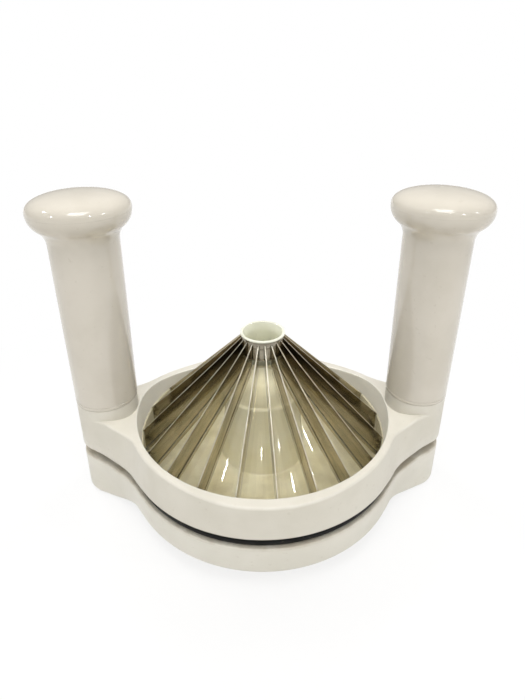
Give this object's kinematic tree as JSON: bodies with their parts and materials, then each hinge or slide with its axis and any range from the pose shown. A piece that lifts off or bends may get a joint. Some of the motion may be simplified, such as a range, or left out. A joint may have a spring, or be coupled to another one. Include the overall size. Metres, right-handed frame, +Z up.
{
  "type": "onion blossom cutter",
  "caption": "Push-down onion cutter: a cone of radial blades in a ring with upright knobbed handles, guided on posts over a base with a round pedestal.",
  "frame": {"origin": "on the table, under the middle of the blade cone's axis", "axes": "+Z up along the blade cone's axis, +X through the right handle, -Y towards the viewer of the picture"},
  "size_m": [0.1992, 0.1368, 0.1548],
  "materials": {
    "housing_cream": "satin moulded cream plastic",
    "handle_cream": "glossier moulded cream plastic",
    "tray_ivory": "glossy ivory plastic",
    "core_plastic": "glossy white plastic",
    "bush_plastic": "plain moulded bearing plastic",
    "blade_steel": "ground stainless steel",
    "sleeve_steel": "drawn stainless steel",
    "post_steel": "turned and polished steel",
    "bumper_rubber": "dull black rubber"
  },
  "bodies": {
    "base": {"base_housing": "housing_cream", "onion_tray": "tray_ivory", "bumper_ring": "bumper_rubber", "guide_post_left": "post_steel", "guide_post_right": "post_steel"},
    "cutter": {"cutter_frame": "housing_cream", "blade_ring": "tray_ivory", "guide_bush_left": "bush_plastic", "guide_bush_right": "bush_plastic", "handle_left": "handle_cream", "handle_right": "handle_cream", "knob_cap_left": "handle_cream", "knob_cap_right": "handle_cream", "core_tube": "core_plastic", "core_sleeve": "sleeve_steel", "blade_01": "blade_steel", "blade_02": "blade_steel", "blade_03": "blade_steel", "blade_04": "blade_steel", "blade_05": "blade_steel", "blade_06": "blade_steel", "blade_07": "blade_steel", "blade_08": "blade_steel", "blade_09": "blade_steel", "blade_10": "blade_steel", "blade_11": "blade_steel", "blade_12": "blade_steel", "blade_13": "blade_steel", "blade_14": "blade_steel", "blade_15": "blade_steel", "blade_16": "blade_steel", "blade_17": "blade_steel", "blade_18": "blade_steel", "blade_19": "blade_steel", "blade_20": "blade_steel"}
  },
  "joints": [
    {"name": "cutter_lift", "type": "slide", "parent": "base", "child": "cutter", "axis": [0, 0, 1], "range_m": [0, 0.105]}
  ]
}
